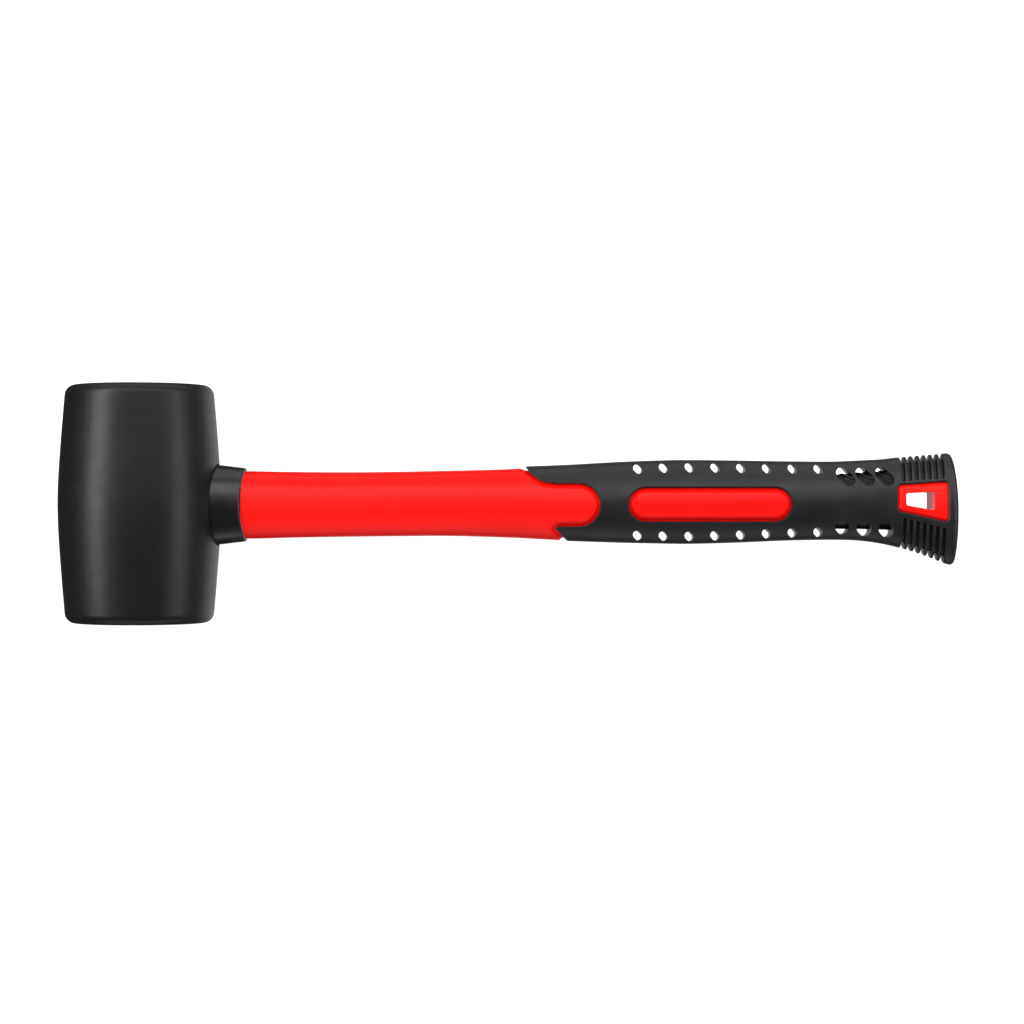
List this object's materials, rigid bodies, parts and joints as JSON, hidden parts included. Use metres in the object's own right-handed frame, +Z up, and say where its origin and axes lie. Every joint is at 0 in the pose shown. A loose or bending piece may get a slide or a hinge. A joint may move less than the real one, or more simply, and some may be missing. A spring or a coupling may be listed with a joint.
{
  "type": "rubber mallet",
  "caption": "Rubber mallet: crowned barrel head with two flat striking faces on a fibreglass-cored handle with a soft moulded grip and a lanyard hole in the butt.",
  "frame": {"origin": "under the middle of the bounding box, on the surface that the mallet lies on, with the head's belly on it and the handle held level", "axes": "+X along the handle from the head to the butt, +Y along the head's axis, +Z up through the face of the grip"},
  "size_m": [0.3498, 0.0926, 0.0632],
  "materials": {
    "head_rubber": "satin moulded black rubber, faint mould marks along the barrel",
    "collar_rubber": "satin moulded black rubber, a little shinier than the head",
    "fibreglass": "pultruded glass fibre in resin, hidden inside the handle",
    "red_plastic": "smooth satin bright red moulded plastic",
    "grip_rubber": "soft-touch matt charcoal overmould with a fine spark-eroded texture"
  },
  "bodies": {
    "root": {"head": "head_rubber", "neck_collar": "collar_rubber", "fibreglass_core": "fibreglass", "handle_jacket": "red_plastic", "grip_sleeve": "grip_rubber"}
  },
  "joints": []
}
